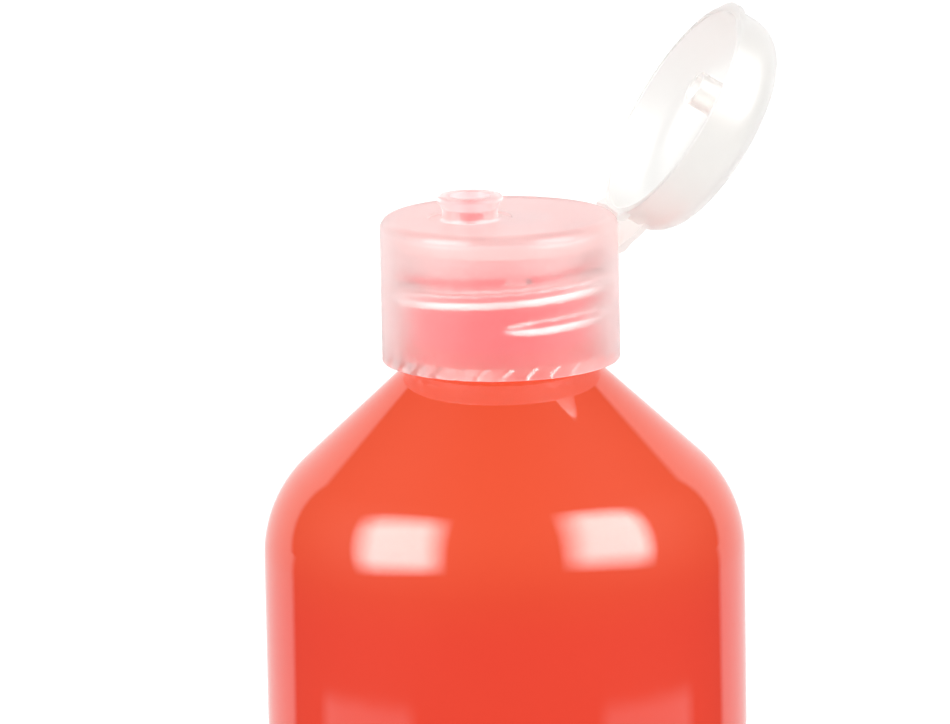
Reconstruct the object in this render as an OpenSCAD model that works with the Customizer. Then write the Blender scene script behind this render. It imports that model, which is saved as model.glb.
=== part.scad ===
/* [Bottle body] */
// Outer diameter of the body
body_d = 69; // [60:0.5:84]
// Height of the cap's lower edge above the base
cap_seat_h = 157; // [140:1:200]
// Thickness of the blown wall
bottle_wall = 0.9; // [0.7:0.05:1.3]
// Radius of the curve between the body and the shoulder
shoulder_curve_r = 18; // [12:0.5:22]
// Slope of the shoulder, measured from the vertical
shoulder_slope = 47; // [42:1:52]
// Radius of the curve between the body and the base
foot_curve_r = 5; // [3:0.5:8]
// Width of the flat ring that the bottle stands on
standing_ring_w = 3; // [2:0.5:5]
// Height of the hollow under the base
push_up_h = 4.5; // [3:0.5:7]

/* [Waisted panel] */
// Depth of the panel below the body's surface
panel_depth = 0.7; // [0.4:0.1:1.2]
// Distance from the shoulder curve down to the panel
panel_drop = 25; // [18:1:36]
// Height of the panel's lower end above the base
panel_foot_h = 16; // [12:1:30]
// Height of the slope at each end of the panel
panel_slope_h = 5; // [2:0.5:7]

/* [Neck] */
// Height of the neck's rim above the cap's lower edge
neck_h = 17; // [16.5:0.5:18]
// Outer diameter of the neck between its threads
neck_root_d = 26.4; // [26:0.1:27]
// Diameter of the neck's bore
neck_bore_d = 23; // [20:0.5:24]
// Diameter of the collar below the threads
collar_d = 28.6; // [28:0.1:29]
// Height of the collar above the cap's lower edge
collar_h = 3.4; // [2:0.1:3.8]
// Height of the paint above the cap's lower edge
paint_rise = 10; // [2:0.5:11]

/* [Thread] */
// Rise of the thread in one turn
thread_pitch = 4.23; // [3.8:0.01:4.5]
// Outer diameter of the neck's thread
thread_d = 28.4; // [28:0.1:28.8]
// Turns of the neck's thread
neck_turns = 1.7; // [1.3:0.05:1.75]
// Turns of the cap's thread
cap_turns = 1.7; // [1:0.05:1.9]
// Height of the neck's thread start above the cap's lower edge
thread_start_h = 8.4; // [8:0.1:8.5]
// Direction in which the neck's thread starts
thread_start_angle = 218; // [0:0.5:359.5]
// Gap between a thread's crest and the root that it faces
crest_gap = 0.3; // [0.2:0.05:0.4]
// Gap between the flanks of the two threads
flank_gap = 0.2; // [0.1:0.05:0.3]
// Width of the vent notch in the neck's thread
vent_w = 3; // [2:0.5:4]

/* [Seal ring] */
// Thickness of the seal ring between the neck and the cap
seal_t = 2; // [1:0.1:2.5]
// Diameter of the seal ring's hole
seal_hole_d = 16; // [14:0.5:18]
// Gap between the seal ring and the cap's wall
seal_gap = 0.4; // [0.2:0.1:0.6]

/* [Cap] */
// Outer diameter of the cap and its lid
cap_d = 34; // [33:0.1:36]
// Thickness of the cap's wall
cap_wall = 1.7; // [1.4:0.1:1.9]
// Thickness of the cap's top plate
cap_top_t = 1.7; // [1.2:0.1:2.5]
// Radius of the cap's upper edge
cap_edge_r = 1.6; // [0.8:0.1:1.8]
// Radius of the cap's lower edge
cap_foot_r = 0.3; // [0.2:0.1:0.7]
// Number of ratchet teeth inside the cap's lower edge
tooth_count = 28; // [16:1:32]
// Height of a ratchet tooth
tooth_h = 1.5; // [1:0.1:2.5]
// Gap between the teeth and the neck's collar
tooth_gap = 0.35; // [0.25:0.05:0.4]

/* [Nozzle] */
// Distance of the nozzle from the cap's centre, away from the hinge
nozzle_offset = 4.2; // [2:0.1:6]
// Height of the nozzle above the top plate
nozzle_h = 3.2; // [2.8:0.1:3.8]
// Diameter of the nozzle's lip
nozzle_lip_d = 9.5; // [9:0.1:11]
// Diameter of the nozzle's stem
nozzle_stem_d = 7.9; // [7.4:0.1:8.6]
// Diameter of the nozzle's mouth
nozzle_mouth_d = 5.8; // [5.4:0.1:6.2]
// Depth of the nozzle's mouth
nozzle_mouth_depth = 2.2; // [1.8:0.1:2.4]
// Diameter of the hole that the paint comes out of
orifice_d = 3.2; // [2:0.1:4]
// Diameter of the shallow recess round the nozzle
nozzle_recess_d = 12; // [11.5:0.5:14]

/* [Flip lid] */
// Height of the lid
lid_h = 8.7; // [7.8:0.1:10]
// Thickness of the lid's wall and plate
lid_wall = 1; // [0.8:0.1:1.2]
// Radius of the lid's upper edge
lid_edge_r = 4.9; // [3:0.1:5.3]
// Gap between the shut lid and the cap's top plate
lid_gap = 0.15; // [0.1:0.05:0.3]
// Angle by which the lid stands open
lid_open_angle = 122.5; // [100:0.5:140]
// Gap round the lid's plug in the nozzle's mouth
plug_gap = 0.3; // [0.2:0.05:0.4]
// Gap between the shut plug's end and the bottom of the mouth
plug_end_gap = 0.35; // [0.2:0.05:0.5]
// Thickness of the plug's wall
plug_wall = 0.8; // [0.6:0.1:1]
// Width of the thumb tab
tab_w = 11; // [8:0.5:16]
// How far the thumb tab stands out
tab_reach = 0.6; // [0.4:0.1:1.2]

/* [Hinge] */
// Depth of the flat that carries the hinge line, inside the cap's round
hinge_flat_depth = 0.4; // [0.2:0.05:0.5]
// Width of the hinge strap
strap_w = 12; // [8:0.5:14]
// Thickness of the hinge strap
strap_t = 0.7; // [0.5:0.1:0.9]
// Distance from the top plate down to the strap's foot
strap_drop = 5; // [3.8:0.1:5.6]
// Distance from the hinge line along the lid to the strap's end
strap_lid_reach = 4.2; // [3.2:0.1:4.8]
// Gap between the strap and the lid
strap_gap = 0.04; // [0.02:0.01:0.1]

/* [Hidden] */
$fn = 96;

body_r = body_d / 2;
neck_root_r = neck_root_d / 2;
neck_bore_r = neck_bore_d / 2;
collar_r = collar_d / 2;
thread_r = thread_d / 2;
cap_r = cap_d / 2;
cap_bore_r = cap_r - cap_wall;
cap_h = neck_h + seal_t + cap_top_t;
cap_top_z = cap_seat_h + cap_h;
rim_z = cap_seat_h + neck_h;

// The shoulder's straight slope ends at the neck, just below the cap
neck_foot_drop = 0.4;
neck_foot_z = cap_seat_h - neck_foot_drop;
slope_top_r = body_r - shoulder_curve_r * (1 - cos(shoulder_slope));
slope_h = (slope_top_r - neck_root_r) / tan(shoulder_slope);
shoulder_z = neck_foot_z - slope_h - shoulder_curve_r * sin(shoulder_slope);
panel_top_z = shoulder_z - panel_drop;

// A small gap keeps the paint's surface off the wall that holds it
paint_gap = 0.02;
arc_steps = 12;

// Threads: how far each section reaches into the wall that carries it, and its widths
thread_steps = 48;
thread_sink = 0.3;
thread_root_w = 2.2;
thread_crest_w = 0.9;
thread_fade = 0.12;
thread_tip = 0.15;
cap_crest_r = neck_root_r + crest_gap;
facing_width = (thread_root_w + thread_crest_w) / 2;
flank_offset = facing_width + flank_gap;
thread_run_in = 2.6;
cap_thread_start_h = collar_h + thread_root_w / 2 + thread_run_in;
cap_thread_angle = thread_start_angle
    + 360 * (cap_thread_start_h + flank_offset - thread_start_h) / thread_pitch;

tooth_tip_r = collar_r + tooth_gap;
tooth_bite = 0.3;
vent_angle = thread_start_angle + 49;

nozzle_lip_h = 0.9;
nozzle_recess_depth = 0.3;
nozzle_base_flare = 0.5;

pivot_x = cap_r - hinge_flat_depth;
hinge_flat_drop = strap_drop + strap_t;
plug_r = nozzle_mouth_d / 2 - plug_gap;
plug_end_h = nozzle_h - nozzle_mouth_depth + plug_end_gap - lid_gap;
tab_t = 1.1;

// Points of an arc about a centre
function arc(centre, r, from, to, steps = arc_steps) = [
    for (i = [0:steps])
        let (a = from + (to - from) * i / steps)
            [centre[0] + r * cos(a), centre[1] + r * sin(a)]
];

// A smooth step from one radius to another between two heights
function smooth_step(r_from, r_to, z_from, z_to, steps = 8) = [
    for (i = [0:steps])
        let (t = i / steps, s = (1 - cos(180 * t)) / 2)
            [r_from + (r_to - r_from) * s, z_from + (z_to - z_from) * t]
];

// The hollow under the base, as a shallow dome inside the standing ring
function dome_points(ring_r, rise, lift) = [
    let (dome_r = (ring_r * ring_r + rise * rise) / (2 * rise))
        for (i = [0:arc_steps])
            let (r = ring_r * i / arc_steps)
                [r, lift + rise - dome_r + sqrt(dome_r * dome_r - r * r)]
];

// Half of the bottle's outline from the middle of the base to the neck's foot,
// set in from the outer surface, with the neck's radius at its upper end
function body_outline(inset, top_r) =
    let (
        r = body_r - inset,
        panel_r = r - panel_depth,
        ring_r = body_r - foot_curve_r,
        curve_r = shoulder_curve_r - inset,
        slope_r = body_r - shoulder_curve_r + curve_r * cos(shoulder_slope),
        slope_z = shoulder_z + curve_r * sin(shoulder_slope)
    )
    concat(
        dome_points(ring_r - standing_ring_w, push_up_h, inset),
        arc([ring_r, foot_curve_r], foot_curve_r - inset, -90, 0),
        smooth_step(r, panel_r, panel_foot_h, panel_foot_h + panel_slope_h),
        smooth_step(panel_r, r, panel_top_z - panel_slope_h, panel_top_z),
        arc([body_r - shoulder_curve_r, shoulder_z], curve_r, 0, shoulder_slope),
        [[top_r, slope_z + (slope_r - top_r) / tan(shoulder_slope)]]
    );

function polar(r, a, z) = [r * cos(a), r * sin(a), z];

// Strength of the thread at a share of its length: it fades in and out at its ends
function thread_strength(t) = max(thread_tip, min(1, t / thread_fade, (1 - t) / thread_fade));

// One closed section of a thread, from the wall side round its crest
function thread_section(wall_r, crest_r, t, a, z) =
    let (
        f = thread_strength(t),
        tip_r = wall_r + (crest_r - wall_r) * f,
        back_r = wall_r - sign(crest_r - wall_r) * thread_sink,
        root = thread_root_w / 2 * (0.5 + 0.5 * f),
        crest = thread_crest_w / 2 * f
    )
    [
        polar(back_r, a, z - root),
        polar(tip_r, a, z - crest),
        polar(tip_r, a, z + crest),
        polar(back_r, a, z + root)
    ];

// A helical ridge from a wall to its crest, swept section by section
module thread_ridge(wall_r, crest_r, turns, start_angle, start_z) {
    count = ceil(thread_steps * turns);
    sides = 4;
    outward = crest_r > wall_r;
    points = [
        for (i = [0:count])
            let (t = i / count, a = start_angle + 360 * turns * t)
                each thread_section(wall_r, crest_r, t, a, start_z + thread_pitch * turns * t)
    ];
    walls = [
        for (i = [0:count - 1], k = [0:sides - 1])
            let (
                p = i * sides + k,
                q = i * sides + (k + 1) % sides,
                u = p + sides,
                v = q + sides
            )
            each [[p, q, v], [p, v, u]]
    ];
    last = count * sides;
    ends = [[2, 1, 0], [3, 2, 0], [last, last + 1, last + 2], [last, last + 2, last + 3]];
    faces = concat(walls, ends);
    turned = [for (f = faces) [f[2], f[1], f[0]]];
    polyhedron(points = points, faces = outward ? faces : turned, convexity = 6);
}

// Half of the neck's outline, from above the shoulder to the middle of its rim
function neck_outline() =
    let (slope = 0.5, rim_round = 0.4)
    [
        [neck_root_r, cap_seat_h],
        [collar_r, cap_seat_h + slope],
        [collar_r, cap_seat_h + collar_h - slope],
        [neck_root_r, cap_seat_h + collar_h],
        [neck_root_r, rim_z - rim_round],
        [neck_root_r - rim_round, rim_z],
        [0, rim_z]
    ];

module neck_thread() {
    notch_deep = thread_r - neck_root_r + 1;
    notch_z = cap_seat_h + thread_start_h + thread_pitch * (1 + (vent_angle - thread_start_angle) / 360);
    difference() {
        thread_ridge(neck_root_r, thread_r, neck_turns, thread_start_angle, cap_seat_h + thread_start_h);
        rotate([0, 0, vent_angle])
            translate([neck_root_r + 0.1, -vent_w / 2, notch_z + 0.1])
                cube([notch_deep, vent_w, thread_root_w / 2]);
    }
}

module bottle() {
    over = 1;
    color([0.96, 0.97, 0.98, 0.35]) {
        difference() {
            rotate_extrude()
                polygon(concat(body_outline(0, neck_root_r), neck_outline()));
            rotate_extrude()
                polygon(concat(
                    body_outline(bottle_wall, neck_bore_r),
                    [[neck_bore_r, rim_z + over], [0, rim_z + over]]
                ));
        }
        neck_thread();
    }
}

module finger_paint() {
    level = cap_seat_h + paint_rise;
    inset = bottle_wall + paint_gap;
    bore_r = neck_bore_r - paint_gap;
    color([0.94, 0.29, 0.19])
        rotate_extrude()
            polygon(concat(body_outline(inset, bore_r), [[bore_r, level], [0, level]]));
}

module seal_ring() {
    color([0.98, 0.93, 0.9])
        translate([0, 0, rim_z])
            difference() {
                cylinder(r = cap_bore_r - seal_gap, h = seal_t);
                translate([0, 0, -1])
                    cylinder(d = seal_hole_d, h = seal_t + 2);
            }
}

// The nozzle, turned about its own axis, with its foot on the top plate
module nozzle() {
    lip_r = nozzle_lip_d / 2;
    stem_r = nozzle_stem_d / 2;
    round_r = nozzle_lip_h / 2;
    rotate_extrude()
        polygon(concat(
            [
                [0, -cap_top_t / 2],
                [stem_r + nozzle_base_flare, -cap_top_t / 2],
                [stem_r + nozzle_base_flare, -nozzle_recess_depth],
                [stem_r, nozzle_base_flare - nozzle_recess_depth],
                [stem_r, nozzle_h - 2 * nozzle_lip_h]
            ],
            arc([lip_r - round_r, nozzle_h - round_r], round_r, -60, 90),
            [[0, nozzle_h]]
        ));
}

// The way out for the paint: a straight hole, a cone and the wide mouth
module nozzle_bore() {
    over = 1;
    mouth_r = nozzle_mouth_d / 2;
    orifice_r = orifice_d / 2;
    mouth_z = nozzle_h - nozzle_mouth_depth;
    cone_h = mouth_r - orifice_r;
    translate([0, 0, -cap_top_t - over])
        cylinder(r = orifice_r, h = cap_top_t + mouth_z + over);
    translate([0, 0, mouth_z - cone_h])
        cylinder(r1 = orifice_r, r2 = mouth_r, h = cone_h);
    translate([0, 0, mouth_z])
        cylinder(r = mouth_r, h = nozzle_mouth_depth + over);
}

// The shallow recess round the nozzle's foot
module nozzle_recess() {
    translate([0, 0, -nozzle_recess_depth])
        cylinder(d = nozzle_recess_d, h = nozzle_recess_depth + 1);
}

// One saw tooth inside the cap's lower edge, steep on one side
module ratchet_tooth() {
    span = 360 / tooth_count * 0.8;
    back_r = cap_bore_r + tooth_bite;
    linear_extrude(tooth_h)
        polygon([
            [back_r, 0],
            [tooth_tip_r, 0],
            [cap_bore_r * cos(span), cap_bore_r * sin(span)],
            [back_r * cos(span), back_r * sin(span)]
        ]);
}

// What a flat at a distance from the axis cuts off a round, from a height upwards
module hinge_flat(from_z) {
    beyond = 5;
    translate([pivot_x, -cap_r, from_z])
        cube([beyond, cap_d, cap_h + lid_h]);
}

module cap_skirt() {
    difference() {
        rotate_extrude()
            polygon(concat(
                [[0, cap_h - cap_top_t], [cap_bore_r, cap_h - cap_top_t], [cap_bore_r, 0]],
                arc([cap_r - cap_foot_r, cap_foot_r], cap_foot_r, -90, 0, 4),
                arc([cap_r - cap_edge_r, cap_h - cap_edge_r], cap_edge_r, 0, 90, 8),
                [[0, cap_h]]
            ));
        hinge_flat(cap_h - hinge_flat_drop);
    }
}

module cap_shell() {
    color([0.98, 0.87, 0.85])
        translate([0, 0, cap_seat_h]) {
            difference() {
                union() {
                    difference() {
                        cap_skirt();
                        translate([-nozzle_offset, 0, cap_h])
                            nozzle_recess();
                    }
                    translate([-nozzle_offset, 0, cap_h])
                        nozzle();
                }
                translate([-nozzle_offset, 0, cap_h])
                    nozzle_bore();
            }
            thread_ridge(cap_bore_r, cap_crest_r, cap_turns, cap_thread_angle, cap_thread_start_h);
            for (i = [0:tooth_count - 1])
                rotate([0, 0, 360 * i / tooth_count])
                    ratchet_tooth();
        }
}

// Outline of the lid's outside, with the lid shut and its rim at height 0
function lid_outline(grow) = concat(
    [[cap_r + grow, -grow]],
    arc([cap_r - lid_edge_r, lid_h - lid_edge_r], lid_edge_r + grow, 0, 90)
);

// The thumb tab: a thin disc that stands a little out of the lid's round and fades into it
module thumb_tab() {
    half_w = tab_w / 2;
    rise = cap_r + tab_reach - sqrt(cap_r * cap_r - half_w * half_w);
    disc_r = (rise * rise + half_w * half_w) / (2 * rise);
    translate([disc_r - cap_r - tab_reach, 0, 0])
        cylinder(r = disc_r, h = tab_t);
}

module shut_lid() {
    inner_edge_r = lid_edge_r - lid_wall;
    top_z = lid_h - lid_wall;
    difference() {
        union() {
            rotate_extrude()
                polygon(concat([[0, 0]], lid_outline(0), [[0, lid_h]]));
            thumb_tab();
        }
        rotate_extrude()
            polygon(concat(
                [[0, -1], [cap_r - lid_wall, -1]],
                arc([cap_r - lid_edge_r, lid_h - lid_edge_r], inner_edge_r, 0, 90, 8),
                [[0, top_z]]
            ));
        hinge_flat(-1);
    }
    translate([-nozzle_offset, 0, plug_end_h])
        difference() {
            cylinder(r = plug_r, h = top_z - plug_end_h + lid_wall / 2);
            translate([0, 0, -1])
                cylinder(r = plug_r - plug_wall, h = top_z - plug_end_h + 1);
        }
}

// Carries a shape from the shut lid's place to the open one
module opened() {
    translate([pivot_x, 0, cap_top_z])
        rotate([0, lid_open_angle, 0])
            translate([-pivot_x, 0, lid_gap])
                children();
}

module flip_lid() {
    color([0.95, 0.94, 0.92])
        opened()
            shut_lid();
}

// The thin strap that joins the cap's wall to the open lid, with the film at the hinge line
module hinge_strap() {
    lid_point = [
        strap_lid_reach * sin(lid_open_angle),
        strap_lid_reach * cos(lid_open_angle)
    ];
    root_reach = cap_r - sqrt(cap_r * cap_r - strap_w * strap_w / 4) - hinge_flat_depth + 0.5;
    foot = [-root_reach, -strap_drop];
    bow = 0.25;
    outer_mid = (foot + lid_point) / 2 + [bow, -bow];
    seat = [foot[0], 0];
    lid_side = [lid_point[0] * 0.5, strap_t];
    inward = [-strap_t * 0.7, strap_t * 0.7];
    color([0.96, 0.93, 0.92])
        difference() {
            translate([pivot_x, strap_w / 2, cap_top_z])
                rotate([90, 0, 0])
                    linear_extrude(strap_w)
                        difference() {
                            polygon([
                                foot + [0, -strap_t],
                                foot + [root_reach, -strap_t * 0.6],
                                outer_mid,
                                lid_point + [0.1, -0.1],
                                lid_point + [0.5, 0.9],
                                lid_side,
                                seat
                            ]);
                            polygon([
                                foot + [0, strap_t],
                                outer_mid + inward,
                                lid_point + inward * 1.2,
                                [lid_point[0] * 0.4, -strap_t * 0.6],
                                seat + [0, -strap_t * 1.6]
                            ]);
                        }
            translate([0, 0, cap_seat_h])
                difference() {
                    rotate_extrude()
                        polygon(concat(
                            [[0, 0], [cap_r, 0]],
                            arc([cap_r - cap_edge_r, cap_h - cap_edge_r], cap_edge_r, 0, 90, 8),
                            [[0, cap_h]]
                        ));
                    hinge_flat(cap_h - hinge_flat_drop);
                }
            opened()
                difference() {
                    rotate_extrude()
                        polygon(concat(
                            [[0, -strap_gap]],
                            lid_outline(strap_gap),
                            [[0, lid_h + strap_gap]]
                        ));
                    translate([strap_gap, 0, 0])
                        hinge_flat(-1);
                }
        }
}

bottle();
finger_paint();
seal_ring();
cap_shell();
hinge_strap();
flip_lid();
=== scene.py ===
"""Looks of the finger paint bottle: clear bottle, red-orange paint, frosted flip-top cap."""

import math

import bpy
import bmesh
from mathutils import Matrix, Vector


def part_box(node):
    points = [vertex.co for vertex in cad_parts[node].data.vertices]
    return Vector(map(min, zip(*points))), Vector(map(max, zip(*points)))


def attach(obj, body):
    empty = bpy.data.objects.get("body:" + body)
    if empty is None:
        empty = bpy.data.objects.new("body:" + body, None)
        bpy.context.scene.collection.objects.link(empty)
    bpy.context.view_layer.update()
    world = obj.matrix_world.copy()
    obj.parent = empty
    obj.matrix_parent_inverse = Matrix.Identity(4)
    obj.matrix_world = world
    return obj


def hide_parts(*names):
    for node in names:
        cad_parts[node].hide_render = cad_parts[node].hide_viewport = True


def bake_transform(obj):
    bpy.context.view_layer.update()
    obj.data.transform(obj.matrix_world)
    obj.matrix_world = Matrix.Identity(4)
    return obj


MM = 0.001

# The photograph's frame and how the bottle lies in it
IMAGE_W = 950
IMAGE_H = 724
SCALE_PX_PER_MM = 7.0
CAMERA_DISTANCE = 1000.0
CAMERA_AZIMUTH = -12.92
CAMERA_ELEVATION = 11.59
CAMERA_ROLL = -1.04
SEAT_PX = (501.3, 357.9)
SENSOR_W = 36

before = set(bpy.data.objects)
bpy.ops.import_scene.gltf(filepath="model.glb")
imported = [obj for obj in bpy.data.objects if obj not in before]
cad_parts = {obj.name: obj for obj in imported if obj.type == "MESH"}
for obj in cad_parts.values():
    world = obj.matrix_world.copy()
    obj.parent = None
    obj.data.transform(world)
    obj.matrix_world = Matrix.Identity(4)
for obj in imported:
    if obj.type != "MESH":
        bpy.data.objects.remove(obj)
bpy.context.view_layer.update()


def along(azimuth, elevation):
    """Direction of a place as seen from the bottle.

    Azimuth 0 is the front, and it grows to the right; elevation grows upwards."""
    a, e = math.radians(azimuth), math.radians(elevation)
    return Vector((math.sin(a) * math.cos(e), -math.cos(a) * math.cos(e), math.sin(e)))


# Heights and radii in millimetres, from the frame's pieces
body_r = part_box("bottle")[1].x / MM
rim_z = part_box("bottle")[1].z / MM
cap_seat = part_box("cap_shell")[0].z / MM
cap_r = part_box("cap_shell")[1].y / MM
paint_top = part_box("finger_paint")[1].z / MM
seal_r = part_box("seal_ring")[1].x / MM
seal_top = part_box("seal_ring")[1].z / MM


def make_camera():
    """The camera at the photograph's viewing angle."""
    back = along(CAMERA_AZIMUTH, CAMERA_ELEVATION)
    level = along(CAMERA_AZIMUTH + 90, 0)
    upright = back.cross(level)
    roll = math.radians(CAMERA_ROLL)
    right = level * math.cos(roll) + upright * math.sin(roll)
    up = upright * math.cos(roll) - level * math.sin(roll)
    aside = (SEAT_PX[0] - IMAGE_W / 2) / SCALE_PX_PER_MM
    above = (IMAGE_H / 2 - SEAT_PX[1]) / SCALE_PX_PER_MM
    aim = Vector((0, 0, cap_seat)) - right * aside - up * above
    data = bpy.data.cameras.new("camera")
    data.sensor_fit = "HORIZONTAL"
    data.sensor_width = SENSOR_W
    data.lens = SCALE_PX_PER_MM * CAMERA_DISTANCE / IMAGE_W * data.sensor_width
    data.clip_start, data.clip_end = 0.01, 20
    camera = bpy.data.objects.new("camera", data)
    turn = Matrix((right, up, back)).transposed().to_4x4()
    camera.matrix_world = Matrix.Translation((aim + back * CAMERA_DISTANCE) * MM) @ turn
    bpy.context.scene.collection.objects.link(camera)
    bpy.context.scene.camera = camera


make_camera()

# The bottle's form, as its pieces have it
SHOULDER_CURVE_R = 18.0
SHOULDER_SLOPE = 47.0
FOOT_CURVE_R = 5.0
STANDING_RING_W = 3.0
PUSH_UP_H = 4.5
WALL = 0.9
PANEL_DEPTH = 0.7
PANEL_DROP = 25.0
PANEL_FOOT_H = 16.0
PANEL_SLOPE_H = 5.0
NECK_FOOT_DROP = 0.4
NECK_ROOT_R = 13.2
NECK_BORE_R = 11.5
COLLAR_R = 14.3
COLLAR_H = 3.4
COLLAR_EDGE = 0.5
RIM_ROUND = 0.4

# Threads, from their start above the cap's lower edge
THREAD_PITCH = 4.23
THREAD_ROOT_W = 2.2
THREAD_CREST_W = 0.9
THREAD_FADE = 0.03
THREAD_ROWS = 100
NECK_THREAD_R = 14.2
NECK_THREAD_START = 8.4
NECK_THREAD_ANGLE = 218.0
NECK_TURNS = 1.7
CAP_THREAD_R = 13.5
CAP_THREAD_START = 7.1
CAP_TURNS = 1.7
FLANK_OFFSET = 1.75
CAP_THREAD_ANGLE = (
    NECK_THREAD_ANGLE
    + 360 * (CAP_THREAD_START + FLANK_OFFSET - NECK_THREAD_START) / THREAD_PITCH
)
VENT_W = 3.0
VENT_AFTER = 49.0

# The paint lies against the wall, so its skin reaches a little into it
PAINT_CONTACT = 0.05

SEAL_HOLE_R = 8.0

# The cap, with heights above its lower edge
CAP_H = 20.7
CAP_BORE_R = 15.3
CAP_TOP_T = 1.7
CAP_EDGE_R = 1.6
CAP_FOOT_R = 0.3
CAP_CORNER_R = 0.5
CAP_THREAD_LOW = 5.0
CAP_THREAD_ROWS = 90
TEETH = 28
TOOTH_H = 1.5
TOOTH_TIP_R = 14.65
TOOTH_LEAN = 4.0
HINGE_X = 16.6
HINGE_FLAT_FOOT = 15.0

# The nozzle, with heights above the top plate
NOZZLE_X = -4.2
NOZZLE_H = 3.2
NOZZLE_LIP_R = 4.75
NOZZLE_LIP_ROUND = 0.45
NOZZLE_STEM_R = 3.95
NOZZLE_STEM_H = 1.4
NOZZLE_MOUTH_R = 2.9
NOZZLE_MOUTH_FLOOR = 1.0
NOZZLE_MOUTH_ROUND = 0.2
NOZZLE_FLARE = 0.5
NOZZLE_ORIFICE_R = 1.6
RECESS_R = 6.0
RECESS_DEPTH = 0.3
CHANNEL_R = 3.4

# The lid, as it lies when it is shut, with heights above its rim
LID_H = 8.7
LID_WALL = 1.0
LID_EDGE_R = 4.9
LID_GAP = 0.15
LID_OPEN = 122.5
LID_RIM_ROUND = 0.2
TAB_W = 11.0
TAB_REACH = 0.6
TAB_T = 1.1
PLUG_R = 2.6
PLUG_WALL = 0.8
PLUG_END = 1.2
PLUG_FOOT_R = 0.4
PLUG_TIP_R = 0.2

# A ring this far inside a rounded edge keeps the flat face beside it flat to the light
EDGE_GUARD = 0.15

# The hinge strap between the cap's wall and the open lid
STRAP_W = 12.0
STRAP_GRIP = 0.08


def arc(centre, r, start, end, steps=12):
    """Points of an arc about a centre, in degrees."""
    turns = [math.radians(start + (end - start) * i / steps) for i in range(steps + 1)]
    return [(centre[0] + r * math.cos(a), centre[1] + r * math.sin(a)) for a in turns]


def smooth_step(r_from, r_to, z_from, z_to, steps=20):
    """A smooth step from one radius to another between two heights."""
    shares = [i / steps for i in range(steps + 1)]
    return [
        (r_from + (r_to - r_from) * (1 - math.cos(math.pi * t)) / 2, z_from + (z_to - z_from) * t)
        for t in shares
    ]


def dome(ring_r, rise, lift, steps=16):
    """The shallow hollow under the base, from its middle to the standing ring."""
    dome_r = (ring_r ** 2 + rise ** 2) / (2 * rise)
    radii = [ring_r * i / steps for i in range(steps + 1)]
    return [(r, lift + rise - dome_r + math.sqrt(dome_r ** 2 - r ** 2)) for r in radii]


def body_outline(inset, top_r):
    """Half of the bottle's outline from the middle of the base to the neck's foot."""
    slope = math.radians(SHOULDER_SLOPE)
    slope_top_r = body_r - SHOULDER_CURVE_R * (1 - math.cos(slope))
    slope_h = (slope_top_r - NECK_ROOT_R) / math.tan(slope)
    shoulder_z = cap_seat - NECK_FOOT_DROP - slope_h - SHOULDER_CURVE_R * math.sin(slope)
    panel_top = shoulder_z - PANEL_DROP
    r, panel_r = body_r - inset, body_r - inset - PANEL_DEPTH
    ring_r = body_r - FOOT_CURVE_R
    curve_r = SHOULDER_CURVE_R - inset
    start_r = body_r - SHOULDER_CURVE_R + curve_r * math.cos(slope)
    start_z = shoulder_z + curve_r * math.sin(slope)
    return (
        dome(ring_r - STANDING_RING_W, PUSH_UP_H, inset)
        + arc((ring_r, FOOT_CURVE_R), FOOT_CURVE_R - inset, -90, 0)
        + smooth_step(r, panel_r, PANEL_FOOT_H, PANEL_FOOT_H + PANEL_SLOPE_H)
        + smooth_step(panel_r, r, panel_top - PANEL_SLOPE_H, panel_top)
        + arc((body_r - SHOULDER_CURVE_R, shoulder_z), curve_r, 0, SHOULDER_SLOPE, 28)
        + [(top_r, start_z + (start_r - top_r) / math.tan(slope))]
    )


def link(piece):
    bpy.context.scene.collection.objects.link(piece)
    return piece


def finish_mesh(name, bm, smooth_angle=32):
    """An object from a bmesh, smooth-shaded, with its sharp edges kept."""
    mesh = bpy.data.meshes.new(name)
    bmesh.ops.recalc_face_normals(bm, faces=bm.faces)
    bm.to_mesh(mesh)
    bm.free()
    mesh.shade_smooth()
    mesh.set_sharp_from_angle(angle=math.radians(smooth_angle))
    return link(bpy.data.objects.new(name, mesh))


def turned(name, outline, columns=180, warp=None, closed=False, place=None):
    """A piece turned from (radius, height) or (radius, height, shift along X) points.

    warp(angle, r, z) may change a radius; place moves the whole piece, in millimetres."""
    bm = bmesh.new()
    angles = [360 * k / columns for k in range(columns)]
    rings = []
    for r, z, *rest in outline:
        shift = rest[0] if rest else 0.0
        if r < 1e-6:
            rings.append([bm.verts.new((shift, 0, z))])
            continue
        ring = []
        for a in angles:
            wall = warp(a, r, z) if warp and not rest else r
            turn = math.radians(a)
            ring.append(bm.verts.new((shift + wall * math.cos(turn), wall * math.sin(turn), z)))
        rings.append(ring)
    pairs = list(zip(rings, rings[1:]))
    if closed:
        pairs.append((rings[-1], rings[0]))
    for low, high in pairs:
        for k in range(columns):
            n = (k + 1) % columns
            if len(low) == 1:
                bm.faces.new((low[0], high[n], high[k]))
            elif len(high) == 1:
                bm.faces.new((low[k], low[n], high[0]))
            else:
                bm.faces.new((low[k], low[n], high[n], high[k]))
    if place:
        bm.transform(place)
    bm.transform(Matrix.Scale(MM, 4))
    return finish_mesh(name, bm)


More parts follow.
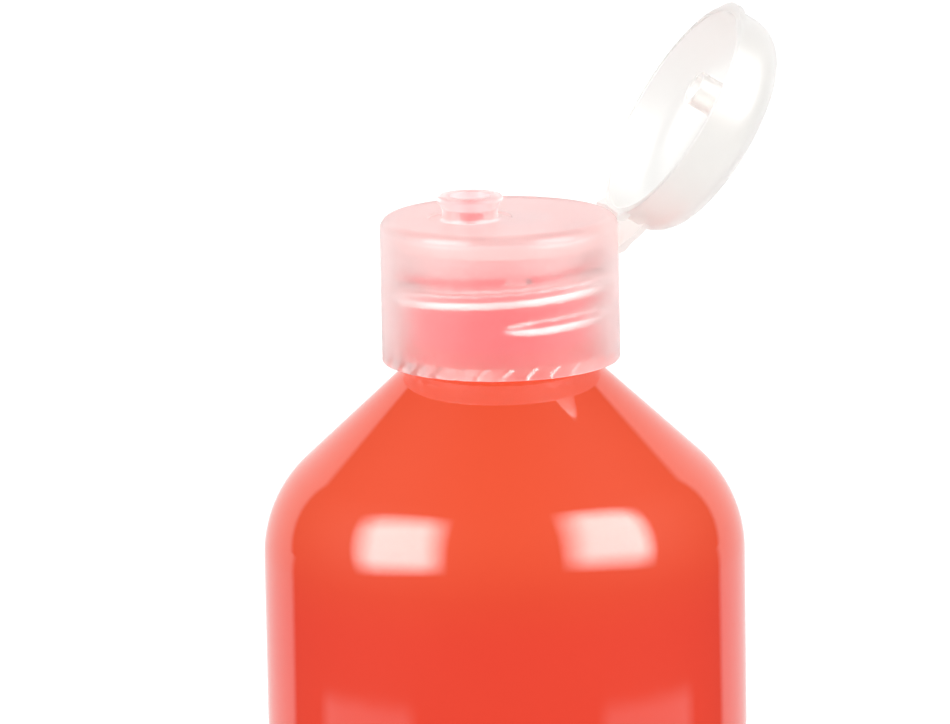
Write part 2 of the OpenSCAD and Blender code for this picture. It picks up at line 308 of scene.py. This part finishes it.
def thread_height(angle, z, start_angle, start_z, turns):
    """How much of a thread's full height stands at a place of the wall, 0 to 1."""
    most = 0.0
    for lap in range(math.ceil(turns) + 1):
        turn = ((angle - start_angle) % 360) / 360 + lap
        t = turn / turns
        if t > 1:
            continue
        strength = min(1, t / THREAD_FADE, (1 - t) / THREAD_FADE)
        root = THREAD_ROOT_W / 2 * (0.5 + 0.5 * strength)
        crest = THREAD_CREST_W / 2 * strength
        off = abs(z - start_z - THREAD_PITCH * turn)
        most = max(most, strength * min(1, max(0, (root - off) / (root - crest))))
    return most


def neck_wall(angle, r, z):
    """The neck's outer wall with its thread and the vent notch in it."""
    if not (cap_seat + COLLAR_H < z < rim_z - RIM_ROUND and abs(r - NECK_ROOT_R) < 0.01):
        return r
    start_z = cap_seat + NECK_THREAD_START
    height = thread_height(angle, z, NECK_THREAD_ANGLE, start_z, NECK_TURNS)
    aside = (angle - NECK_THREAD_ANGLE - VENT_AFTER + 180) % 360 - 180
    vent_z = start_z + THREAD_PITCH * (1 + VENT_AFTER / 360)
    if abs(math.radians(aside)) * r < VENT_W / 2 and 0 < z - vent_z < THREAD_ROOT_W:
        height = 0
    return r + (NECK_THREAD_R - NECK_ROOT_R) * height


def neck_outline():
    """Half of the neck's outside, with rows close enough to carry the thread."""
    low, high = cap_seat + COLLAR_H, rim_z - RIM_ROUND
    foot, head = cap_seat + COLLAR_EDGE, low - COLLAR_EDGE
    rows = THREAD_ROWS
    return (
        [(NECK_ROOT_R, cap_seat), (COLLAR_R - 0.15, foot - 0.1), (COLLAR_R, foot + 0.1)]
        + [(COLLAR_R, head - 0.1), (COLLAR_R - 0.15, head + 0.1)]
        + [(NECK_ROOT_R, low + (high - low) * i / rows) for i in range(rows + 1)]
        + arc((NECK_ROOT_R - RIM_ROUND, high), RIM_ROUND, 15, 90, 5)
    )


def hinge_flat(angle, r):
    """A round wall's radius where the hinge's flat cuts it off."""
    reach = math.cos(math.radians(angle))
    return min(r, HINGE_X / reach) if reach > 0.9 else r


def cap_wall(angle, r, z):
    """The cap's walls: the hinge's flat outside, the thread and the ratchet teeth inside."""
    h = z - cap_seat
    if abs(r - CAP_BORE_R) < 0.01:
        if h < TOOTH_H:
            share = (angle - TOOTH_LEAN * h) % (360 / TEETH) / (0.8 * 360 / TEETH)
            return r - (CAP_BORE_R - TOOTH_TIP_R) * max(0, 1 - share)
        height = thread_height(angle, h, CAP_THREAD_ANGLE, CAP_THREAD_START, CAP_TURNS)
        return r - (CAP_BORE_R - CAP_THREAD_R) * height
    return hinge_flat(angle, r) if h > HINGE_FLAT_FOOT else r


def nozzle_outline():
    """The nozzle from the recess's edge over its lip to the hole through the top plate."""
    lip_z = NOZZLE_H - NOZZLE_LIP_ROUND
    cone_foot = NOZZLE_MOUTH_FLOOR - (NOZZLE_MOUTH_R - NOZZLE_ORIFICE_R)
    flare = (NOZZLE_STEM_R + NOZZLE_FLARE, -RECESS_DEPTH + NOZZLE_FLARE)
    lip = (NOZZLE_LIP_R - NOZZLE_LIP_ROUND, lip_z)
    mouth = (NOZZLE_MOUTH_R + NOZZLE_MOUTH_ROUND, NOZZLE_H - NOZZLE_MOUTH_ROUND)
    points = (
        [(RECESS_R, 0), (RECESS_R - 0.1, -RECESS_DEPTH)]
        + arc(flare, NOZZLE_FLARE, 270, 180, 6)
        + [(NOZZLE_STEM_R, NOZZLE_STEM_H)]
        + arc(lip, NOZZLE_LIP_ROUND, -50, 90, 8)
        + arc(mouth, NOZZLE_MOUTH_ROUND, 90, 180, 4)
        + [(NOZZLE_MOUTH_R, NOZZLE_MOUTH_FLOOR), (NOZZLE_ORIFICE_R, cone_foot)]
        + [(NOZZLE_ORIFICE_R, -CAP_TOP_T)]
    )
    return [(r, cap_seat + CAP_H + z, NOZZLE_X) for r, z in points]


def cap_outline():
    """The cap's outline, up its outside, through the nozzle and down its inside."""
    rows = CAP_THREAD_ROWS
    low, high = CAP_THREAD_LOW, CAP_H - CAP_TOP_T
    thread_top = high - CAP_CORNER_R - 0.1
    thread_step = (thread_top - low) / rows
    outside = (
        arc((cap_r - CAP_FOOT_R, CAP_FOOT_R), CAP_FOOT_R, -90, 0, 5)
        + [(cap_r, HINGE_FLAT_FOOT - 0.02), (cap_r, HINGE_FLAT_FOOT + 0.02)]
        + arc((cap_r - CAP_EDGE_R, CAP_H - CAP_EDGE_R), CAP_EDGE_R, 0, 90, 10)
        + [(cap_r - CAP_EDGE_R - EDGE_GUARD, CAP_H)]
    )
    inside = (
        [(CAP_BORE_R - CAP_CORNER_R - EDGE_GUARD, high)]
        + arc((CAP_BORE_R - CAP_CORNER_R, high - CAP_CORNER_R), CAP_CORNER_R, 90, 10, 4)
        + [(CAP_BORE_R, thread_top - thread_step * i) for i in range(rows + 1)]
        + [(CAP_BORE_R, TOOTH_H + 0.05)]
        + [(CAP_BORE_R, (TOOTH_H - 0.05) * (1 - i / 4)) for i in range(5)]
    )
    outside = [(r, cap_seat + z) for r, z in outside]
    inside = [(r, cap_seat + z) for r, z in inside]
    return outside + nozzle_outline() + inside


def lid_wall(angle, r, z):
    """The lid's outer wall with the hinge's flat, and the thumb tab at its rim."""
    if r < cap_r - LID_WALL + 0.5:
        return r
    if z < TAB_T:
        rise = cap_r + TAB_REACH - math.sqrt(cap_r ** 2 - TAB_W ** 2 / 4)
        disc_r = (rise ** 2 + TAB_W ** 2 / 4) / (2 * rise)
        off = disc_r - cap_r - TAB_REACH
        turn = math.radians(angle)
        across = math.sqrt(disc_r ** 2 - (off * math.sin(turn)) ** 2)
        r = max(r, off * math.cos(turn) + across - (cap_r - r))
    return hinge_flat(angle, r)


def lid_outline():
    """The shut lid's outline, from the middle of its top round the rim to the plug inside."""
    straight = LID_H - LID_EDGE_R
    inner_r = LID_EDGE_R - LID_WALL
    plate = LID_H - LID_WALL
    rim = LID_RIM_ROUND
    foot, tip = PLUG_FOOT_R, PLUG_TIP_R
    outside = (
        [(0, LID_H), (cap_r - LID_EDGE_R - EDGE_GUARD, LID_H)]
        + arc((cap_r - LID_EDGE_R, straight), LID_EDGE_R, 90, 0, 16)
        + [(cap_r, TAB_T + 0.05), (cap_r, TAB_T - 0.05)]
        + arc((cap_r - rim, rim), rim, 0, -90, 4)
    )
    inside = (
        arc((cap_r - LID_WALL + rim, rim), rim, 270, 180, 4)
        + arc((cap_r - LID_EDGE_R, straight), inner_r, 0, 90, 14)
        + [(cap_r - LID_EDGE_R - EDGE_GUARD, plate)]
    )
    plug = (
        [(PLUG_R + foot + EDGE_GUARD, plate)]
        + arc((PLUG_R + foot, plate - foot), foot, 90, 180, 4)
        + arc((PLUG_R - tip, PLUG_END + tip), tip, 0, -90, 4)
        + arc((PLUG_R - PLUG_WALL + tip, PLUG_END + tip), tip, 270, 180, 4)
        + [(PLUG_R - PLUG_WALL, plate), (0, plate)]
    )
    return outside + inside + [(r, z, NOZZLE_X) for r, z in plug]


def opened():
    """Carries a point of the shut lid to the open one."""
    hinge = Vector((HINGE_X, 0, cap_seat + CAP_H))
    turn = Matrix.Rotation(math.radians(LID_OPEN), 4, "Y")
    return Matrix.Translation(hinge) @ turn @ Matrix.Translation(Vector((-HINGE_X, 0, LID_GAP)))


def strap_profiles():
    """Side views of the hinge: the gusset's band and the film, from the hinge line.

    Each point is (x, z, part): cap and lid points follow the wall that they are joined to."""
    a = math.radians(LID_OPEN)
    lid_way = Vector((math.sin(a), math.cos(a)))
    end, start, film = lid_way * 4.3, lid_way * 3.5, lid_way * 1.1
    band = [
        (0, -5.55, "cap"), (0.35, -5.1, ""), (1.4, -3.95, ""), (2.6, -3.02, ""),
        (end.x, end.y, "lid"), (start.x, start.y, "lid"),
        (2.0, -2.5, ""), (0.95, -3.35, ""), (0, -4.5, "cap"),
    ]
    skin = [
        (0, -0.02, "cap"), (0, -0.8, "cap"), (0.45, -0.72, ""),
        (film.x, film.y, "lid"), (0.03, -0.04, "lid"),
    ]
    return {"band": band, "film": skin}


def make_strap_piece(name, profile, material, rows=24):
    """A band across the hinge, fitted to the round walls of the cap and the lid."""
    a = math.radians(LID_OPEN)
    into_lid = Vector((-math.cos(a), math.sin(a)))
    bm = bmesh.new()
    sections = []
    for i in range(rows + 1):
        y = STRAP_W * (i / rows - 0.5)
        round_off = max(0.0, HINGE_X - math.sqrt(cap_r ** 2 - y ** 2)) + STRAP_GRIP
        section = []
        for x, z, part in profile:
            if part == "cap":
                x -= round_off
            elif part == "lid":
                x += into_lid.x * round_off
                z += into_lid.y * round_off
            point = ((HINGE_X + x) * MM, y * MM, (cap_seat + CAP_H + z) * MM)
            section.append(bm.verts.new(point))
        sections.append(section)
    for one, two in zip(sections, sections[1:]):
        for k in range(len(one)):
            n = (k + 1) % len(one)
            bm.faces.new((one[k], one[n], two[n], two[k]))
    bm.faces.new(sections[0])
    bm.faces.new(sections[-1][::-1])
    strap = finish_mesh(name, bm)
    strap.data.materials.append(material)
    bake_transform(strap)
    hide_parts("hinge_strap")


def node_material(name):
    """An empty node material, with a way to add and join nodes."""
    mat = bpy.data.materials.new(name)
    mat.use_nodes = True
    tree = mat.node_tree
    tree.nodes.clear()
    out = tree.nodes.new("ShaderNodeOutputMaterial")

    def add(kind, **inputs):
        node = tree.nodes.new(kind)
        for key, value in inputs.items():
            node.inputs[key.replace("_", " ")].default_value = value
        return node

    return mat, tree.links.new, add, out


def fine_relief(join, add, body, scale, strength, distance):
    """A fine unevenness of a moulded or blown surface."""
    coords = add("ShaderNodeTexCoord")
    noise = add("ShaderNodeTexNoise", Scale=scale, Detail=3.0)
    bump = add("ShaderNodeBump", Strength=strength, Distance=distance)
    join(coords.outputs["Object"], noise.inputs["Vector"])
    join(noise.outputs["Fac"], bump.inputs["Height"])
    join(bump.outputs["Normal"], body.inputs["Normal"])


def let_light_through(join, add, body, out, tint):
    """Lets lamps and stray light pass a clear piece straight, so that what is inside is lit."""
    path = add("ShaderNodeLightPath")
    passing = add("ShaderNodeMath")
    passing.operation = "MAXIMUM"
    through = add("ShaderNodeBsdfTransparent", Color=tint)
    mix = add("ShaderNodeMixShader")
    join(path.outputs["Is Shadow Ray"], passing.inputs[0])
    join(path.outputs["Is Diffuse Ray"], passing.inputs[1])
    join(passing.outputs[0], mix.inputs[0])
    join(body.outputs[0], mix.inputs[1])
    join(through.outputs[0], mix.inputs[2])
    join(mix.outputs[0], out.inputs["Surface"])


def clear_plastic():
    """Clear blown bottle plastic."""
    mat, join, add, out = node_material("clear_bottle")
    body = add("ShaderNodeBsdfPrincipled", Roughness=0.045, IOR=1.62)
    body.inputs["Base Color"].default_value = (1, 1, 1, 1)
    body.inputs["Transmission Weight"].default_value = 1.0
    fine_relief(join, add, body, scale=60, strength=0.02, distance=0.0005)
    let_light_through(join, add, body, out, (0.995, 0.99, 0.99, 1))
    return mat


# The paint's tone in the body, and up in the shoulder a lighter tone that is painted light from
# above
PAINT_DEEP = ((0.86, 0.055, 0.026, 1), (0.90, 0.064, 0.03, 1))
PAINT_SHOULDER_PAINTED_LIGHT = ((0.86, 0.08, 0.026, 1), (0.89, 0.09, 0.03, 1))
SHOULDER_LIGHT_TURNS_AT = (0.121, 0.139)
PAINT_IN_NECK = (1.0, 0.03, 0.055, 1)
NECK_TURNS_AT = (0.1565, 0.1605)


def paint_material():
    """Thick red-orange paint, a little uneven in tone, lighter towards the neck; the shoulder's
    lighter tone is painted light from above.
    """
    mat, join, add, out = node_material("paint")
    coords = add("ShaderNodeTexCoord")
    noise = add("ShaderNodeTexNoise", Scale=40.0, Detail=4.0)
    join(coords.outputs["Object"], noise.inputs["Vector"])
    tones = []
    for low, high in (PAINT_DEEP, PAINT_SHOULDER_PAINTED_LIGHT):
        ramp = add("ShaderNodeValToRGB")
        ramp.color_ramp.elements[0].color = low
        ramp.color_ramp.elements[1].color = high
        join(noise.outputs["Fac"], ramp.inputs["Fac"])
        tones.append(ramp.outputs["Color"])
    split = add("ShaderNodeSeparateXYZ")
    join(coords.outputs["Object"], split.inputs[0])

    def turn_to(before, after, between):
        """Goes from one tone to another between two heights."""
        rise = add("ShaderNodeMapRange")
        rise.interpolation_type = "SMOOTHSTEP"
        rise.inputs["From Min"].default_value, rise.inputs["From Max"].default_value = between
        join(split.outputs["Z"], rise.inputs["Value"])
        blend = add("ShaderNodeMix")
        blend.data_type = "RGBA"
        join(rise.outputs[0], blend.inputs[0])
        join(before, blend.inputs[6])
        if isinstance(after, tuple):
            blend.inputs[7].default_value = after
        else:
            join(after, blend.inputs[7])
        return blend.outputs[2]

    # The lighter tone up the shoulder is painted light from above; the neck's tone follows it
    tone = turn_to(turn_to(tones[0], tones[1], SHOULDER_LIGHT_TURNS_AT), PAINT_IN_NECK, NECK_TURNS_AT)
    body = add("ShaderNodeBsdfPrincipled", Roughness=0.5, IOR=1.45)
    join(tone, body.inputs["Base Color"])
    body.inputs["Specular IOR Level"].default_value = 0.1
    join(body.outputs[0], out.inputs["Surface"])
    return mat


# The frosted plastics: the two tones that each varies between, how clear and how rough it is,
# and the tint of the light that passes it
# The seal's and the cap's pink tones and tints are painted light: the paint's red light scattered
# in white plastic
SEAL_LOOK_RED_BOUNCE_PAINTED = (((1.0, 0.80, 0.79, 1), (1.0, 0.84, 0.83, 1)), 0.6, 0.4, (0.99, 0.94, 0.93, 1))
CAP_LOOK_RED_BOUNCE_PAINTED = (((1.0, 0.81, 0.80, 1), (1.0, 0.84, 0.83, 1)), 0.9, 0.34, (1.0, 0.97, 0.965, 1))
STRAP_LOOK = (((0.93, 0.89, 0.87, 1), (0.96, 0.93, 0.91, 1)), 0.3, 0.4, (1.0, 0.99, 0.98, 1))
LID_LOOK = (((0.93, 0.92, 0.90, 1), (0.96, 0.955, 0.94, 1)), 0.8, 0.33, (0.99, 0.985, 0.975, 1))

# The tint that paint gives to the nozzle's mouth, how softly it ends, and how far down it goes
CHANNEL_TINT = (1.0, 0.68, 0.70, 1)
CHANNEL_SOFT = 0.0004
CHANNEL_DEPTH = 1.0


def frosted_plastic(name, tints, clearness, roughness, through, channel=None):
    """Natural moulded plastic: partly clear, partly milky, softly glossy, a little uneven.

    channel is the tint that paint gives to the nozzle's mouth."""
    mat, join, add, out = node_material(name)
    maths = shader_maths(mat.node_tree)
    body = add("ShaderNodeBsdfPrincipled", Roughness=roughness, IOR=1.5)
    coords = add("ShaderNodeTexCoord")
    noise = add("ShaderNodeTexNoise", Scale=90.0, Detail=2.0)
    join(coords.outputs["Object"], noise.inputs["Vector"])
    ramp = add("ShaderNodeValToRGB")
    ramp.color_ramp.elements[0].color, ramp.color_ramp.elements[1].color = tints
    join(noise.outputs["Fac"], ramp.inputs["Fac"])
    tone = ramp.outputs["Color"]
    if channel:
        split = add("ShaderNodeSeparateXYZ")
        join(coords.outputs["Object"], split.inputs[0])
        x, y, z = split.outputs
        aside = maths("SUBTRACT", x, NOZZLE_X * MM)
        off = maths("SQRT", maths("ADD", maths("MULTIPLY", aside, aside), maths("MULTIPLY", y, y)))
        inside = ramp_up(maths, maths("SUBTRACT", CHANNEL_R * MM, off), 0.0, CHANNEL_SOFT)
        plate_z = cap_seat + CAP_H
        above = ramp_up(maths, z, (plate_z - CHANNEL_DEPTH) * MM, plate_z * MM)
        blend = add("ShaderNodeMix")
        blend.data_type = "RGBA"
        join(maths("MULTIPLY", inside, above), blend.inputs[0])
        join(tone, blend.inputs[6])
        blend.inputs[7].default_value = channel
        tone = blend.outputs[2]
    join(tone, body.inputs["Base Color"])
    body.inputs["Transmission Weight"].default_value = clearness
    fine_relief(join, add, body, scale=700, strength=0.06, distance=0.0002)
    let_light_through(join, add, body, out, through)
    return mat


# The studio: a white room, dim in front, in which reflections inside a clear piece are white
FILL = 1.08
FILL_FROM_ABOVE = 0.1
DARK_FRONT = 0.06
INNER_DEPTH_IN_WORLD = 2.5
INNER_DEPTH_ON_FLOOR = 1.5

# Two large softboxes with soft edges, and the directions of their corners from the shoulder
SOFTBOX_RADIANCE = 11.0
SOFTBOX_DISTANCE = 1.1
SOFTBOX_EDGE = 0.28
SHOULDER_MIDDLE_Z = 0.137
SOFTBOX_CORNERS = {
    "left": [(-98.0, 40.0), (-39.0, 62.0), (-26.5, 10.5), (-75.2, 0.5)],
    "right": [(38.5, 66.0), (96.0, 44.5), (75.4, 1.5), (25.5, 12.0)],
}

# The white wall behind the bottle, as its gloss mirrors it: angles to its left and right edges
# from straight behind, how much they lean in as they rise, and how soft they are
WALL_LEFT = 56.5
WALL_LEFT_LEAN = -0.508
WALL_RIGHT = 55.4
WALL_RIGHT_LEAN = -0.388
WALL_SOFT = 2.5

# The white table top beside the bottle, as its gloss mirrors it
TABLE_REACH = 0.465
TABLE_SIDES = (45.0, 95.0)
TABLE_SOFT = 4
TABLE_EDGE_SOFT = 0.01
WALL_FOOT_LIFT = -8

FLOOR_RADIUS = 4
FLOOR_DROP = 0.0002
FLOOR_GREY = (0.8, 0.8, 0.8, 1)
FLOOR_GLOW = 0.3


def shader_maths(tree):
    """Maths nodes written as a function of numbers and sockets."""
    def maths(operation, *values):
        node = tree.nodes.new("ShaderNodeMath")
        node.operation = operation
        for i, value in enumerate(values):
            if isinstance(value, (int, float)):
                node.inputs[i].default_value = value
            else:
                tree.links.new(value, node.inputs[i])
        return node.outputs[0]

    return maths


def ramp_up(maths, value, start, end):
    """0 below start, 1 above end."""
    share = maths("DIVIDE", maths("SUBTRACT", value, start), end - start)
    return maths("MINIMUM", maths("MAXIMUM", share, 0.0), 1.0)


def turn_from_behind(maths, x, y):
    """Angle of a horizontal direction from straight behind the bottle, positive to the right."""
    back = along(CAMERA_AZIMUTH + 180, 0)
    side = along(CAMERA_AZIMUTH + 90, 0)
    depth = maths("ADD", maths("MULTIPLY", x, back.x), maths("MULTIPLY", y, back.y))
    aside = maths("ADD", maths("MULTIPLY", x, side.x), maths("MULTIPLY", y, side.y))
    return maths("ARCTAN2", aside, depth)


def white_wall(maths, turn, lift):
    """1 where the white wall behind the bottle stands, 0 beside it."""
    left = maths("ADD", maths("MULTIPLY", lift, WALL_LEFT_LEAN), math.radians(WALL_LEFT))
    right = maths("ADD", maths("MULTIPLY", lift, WALL_RIGHT_LEAN), math.radians(WALL_RIGHT))
    soft = math.radians(WALL_SOFT)
    in_left = ramp_up(maths, maths("ADD", turn, left), -soft, soft)
    in_right = ramp_up(maths, maths("SUBTRACT", right, turn), -soft, soft)
    return maths("MULTIPLY", in_left, in_right)


def make_world():
    """White behind the object and through it.

    Its reflections see a white wall behind and a dim front."""
    world = bpy.data.worlds.new("studio")
    bpy.context.scene.world = world
    world.use_nodes = True
    tree = world.node_tree
    tree.nodes.clear()
    maths = shader_maths(tree)
    coords = tree.nodes.new("ShaderNodeTexCoord")
    split = tree.nodes.new("ShaderNodeSeparateXYZ")
    tree.links.new(coords.outputs["Generated"], split.inputs[0])
    x, y, z = split.outputs
    wall = white_wall(maths, turn_from_behind(maths, x, y), maths("ARCSINE", z))
    path = tree.nodes.new("ShaderNodeLightPath")
    inner = maths("GREATER_THAN", path.outputs["Ray Depth"], INNER_DEPTH_IN_WORLD)
    seen = maths("MAXIMUM", maths("MAXIMUM", wall, inner), DARK_FRONT)
    looks = maths("MAXIMUM", path.outputs["Is Camera Ray"], path.outputs["Is Transmission Ray"])
    mirrors = maths("MULTIPLY", path.outputs["Is Glossy Ray"], seen)
    light = maths("ADD", maths("MULTIPLY", z, FILL_FROM_ABOVE), FILL)
    fills = maths("MULTIPLY", path.outputs["Is Diffuse Ray"], light)
    background = tree.nodes.new("ShaderNodeBackground")
    background.inputs["Color"].default_value = (1, 1, 1, 1)
    strength = maths("MAXIMUM", looks, maths("ADD", mirrors, fills))
    tree.links.new(strength, background.inputs["Strength"])
    out = tree.nodes.new("ShaderNodeOutputWorld")
    tree.links.new(background.outputs[0], out.inputs["Surface"])


def softbox(name, corners):
    """A softbox that shows only in the gloss, such as the one of the bottle's shoulder."""
    mat, join, add, out = node_material(name)
    maths = shader_maths(mat.node_tree)
    coords = add("ShaderNodeTexCoord")
    split = add("ShaderNodeSeparateXYZ")
    join(coords.outputs["UV"], split.inputs[0])
    strength = SOFTBOX_RADIANCE
    for across in split.outputs[:2]:
        margin = maths("MINIMUM", across, maths("SUBTRACT", 1.0, across))
        strength = maths("MULTIPLY", ramp_up(maths, margin, 0.0, SOFTBOX_EDGE), strength)
    glow = add("ShaderNodeEmission", Color=(1, 1, 1, 1))
    join(strength, glow.inputs["Strength"])
    join(glow.outputs[0], out.inputs["Surface"])
    bm = bmesh.new()
    heart = Vector((0, 0, SHOULDER_MIDDLE_Z))
    ways = [along(CAMERA_AZIMUTH + az, el) for az, el in corners]
    points = [heart + way * SOFTBOX_DISTANCE for way in ways]
    panel_face = bm.faces.new([bm.verts.new(p) for p in points])
    layer = bm.loops.layers.uv.new("panel")
    for loop, place in zip(panel_face.loops, ((0, 0), (1, 0), (1, 1), (0, 1))):
        loop[layer].uv = place
    panel = finish_mesh(name, bm)
    panel.data.materials.append(mat)
    panel.visible_camera = False
    panel.visible_diffuse = False
    panel.visible_transmission = False
    panel.visible_shadow = False


def floor_material():
    """Pale floor that reads as white around the object and keeps its shadow."""
    mat, join, add, out = node_material("pale_floor")
    maths = shader_maths(mat.node_tree)
    body = add("ShaderNodeBsdfDiffuse", Color=FLOOR_GREY)
    lift = add("ShaderNodeEmission", Color=(1, 1, 1, 1), Strength=FLOOR_GLOW)
    both = add("ShaderNodeAddShader")
    seen = add("ShaderNodeMixShader")
    path = add("ShaderNodeLightPath")
    join(body.outputs[0], both.inputs[0])
    join(lift.outputs[0], both.inputs[1])
    join(path.outputs["Is Diffuse Ray"], seen.inputs[0])
    join(both.outputs[0], seen.inputs[1])
    join(body.outputs[0], seen.inputs[2])
    # In the bottle's gloss the floor is white behind and close beside it, and dim in front
    coords = add("ShaderNodeTexCoord")
    split = add("ShaderNodeSeparateXYZ")
    join(coords.outputs["Object"], split.inputs[0])
    x, y, _ = split.outputs
    turn = turn_from_behind(maths, x, y)
    reach = maths("SQRT", maths("ADD", maths("MULTIPLY", x, x), maths("MULTIPLY", y, y)))
    inwards = maths("SUBTRACT", TABLE_REACH, reach)
    near = ramp_up(maths, inwards, -TABLE_EDGE_SOFT, TABLE_EDGE_SOFT)
    front = maths("SUBTRACT", math.pi, maths("ABSOLUTE", turn))
    low, high = (math.radians(v) for v in TABLE_SIDES)
    soft = math.radians(TABLE_SOFT)
    past_low = ramp_up(maths, front, low - soft, low + soft)
    before_high = ramp_up(maths, maths("SUBTRACT", high, front), -soft, soft)
    beside = maths("MULTIPLY", past_low, before_high)
    wall = white_wall(maths, turn, math.radians(WALL_FOOT_LIFT))
    inner = maths("GREATER_THAN", path.outputs["Ray Depth"], INNER_DEPTH_ON_FLOOR)
    table = maths("MAXIMUM", maths("MULTIPLY", near, beside), DARK_FRONT)
    bright = maths("MAXIMUM", maths("MAXIMUM", wall, inner), table)
    mirror = add("ShaderNodeEmission", Color=(1, 1, 1, 1))
    join(bright, mirror.inputs["Strength"])
    mirrored = add("ShaderNodeMixShader")
    join(path.outputs["Is Glossy Ray"], mirrored.inputs[0])
    join(seen.outputs[0], mirrored.inputs[1])
    join(mirror.outputs[0], mirrored.inputs[2])
    join(mirrored.outputs[0], out.inputs["Surface"])
    return mat


def make_floor():
    bm = bmesh.new()
    bmesh.ops.create_circle(bm, cap_ends=True, radius=FLOOR_RADIUS, segments=64)
    floor = finish_mesh("floor", bm)
    floor.location.z = -FLOOR_DROP
    floor.data.materials.append(floor_material())


def dress(piece, material, body, node):
    """Gives a piece its material and its place in the part."""
    piece.data.materials.append(material)
    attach(piece, body)
    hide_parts(node)


def make_bottle():
    outside = body_outline(0, NECK_ROOT_R) + neck_outline()
    inside = body_outline(WALL, NECK_BORE_R) + [(NECK_BORE_R, rim_z)]
    shell = turned("bottle_shell", outside + inside[::-1], 240, neck_wall)
    dress(shell, clear_plastic(), "bottle", "bottle")


def make_paint():
    bore = NECK_BORE_R + PAINT_CONTACT
    outline = body_outline(WALL - PAINT_CONTACT, bore) + [(bore, paint_top), (0, paint_top)]
    fill = turned("paint_fill", outline, 160)
    dress(fill, paint_material(), "bottle", "finger_paint")


def make_seal():
    # The white foam's pink tone is painted light, the paint's red light scattered in it
    foam = frosted_plastic("seal_foam", *SEAL_LOOK_RED_BOUNCE_PAINTED)
    outline = [(SEAL_HOLE_R, rim_z), (seal_r, rim_z), (seal_r, seal_top), (SEAL_HOLE_R, seal_top)]
    ring = turned("seal", outline, 120, closed=True)
    dress(ring, foam, "seal", "seal_ring")


def make_cap():
    # The cap's pink tone and tint are painted light, the paint's red light scattered in the white
    # plastic
    plastic = frosted_plastic("frosted_cap", *CAP_LOOK_RED_BOUNCE_PAINTED, channel=CHANNEL_TINT)
    thin = frosted_plastic("frosted_strap", *STRAP_LOOK)
    shell = turned("cap_body", cap_outline(), 224, cap_wall, closed=True)
    dress(shell, plastic, "cap", "cap_shell")
    for name, profile in strap_profiles().items():
        make_strap_piece(f"strap_{name}", profile, thin)


def make_lid():
    plastic = frosted_plastic("frosted_lid", *LID_LOOK)
    lid = turned("lid", lid_outline(), 180, lid_wall, place=opened())
    dress(lid, plastic, "lid", "flip_lid")


make_world()
make_floor()
for side, corners in SOFTBOX_CORNERS.items():
    softbox(f"softbox_{side}", corners)
make_bottle()
make_paint()
make_seal()
make_cap()
make_lid()

bpy.context.scene.view_settings.view_transform = "Standard"
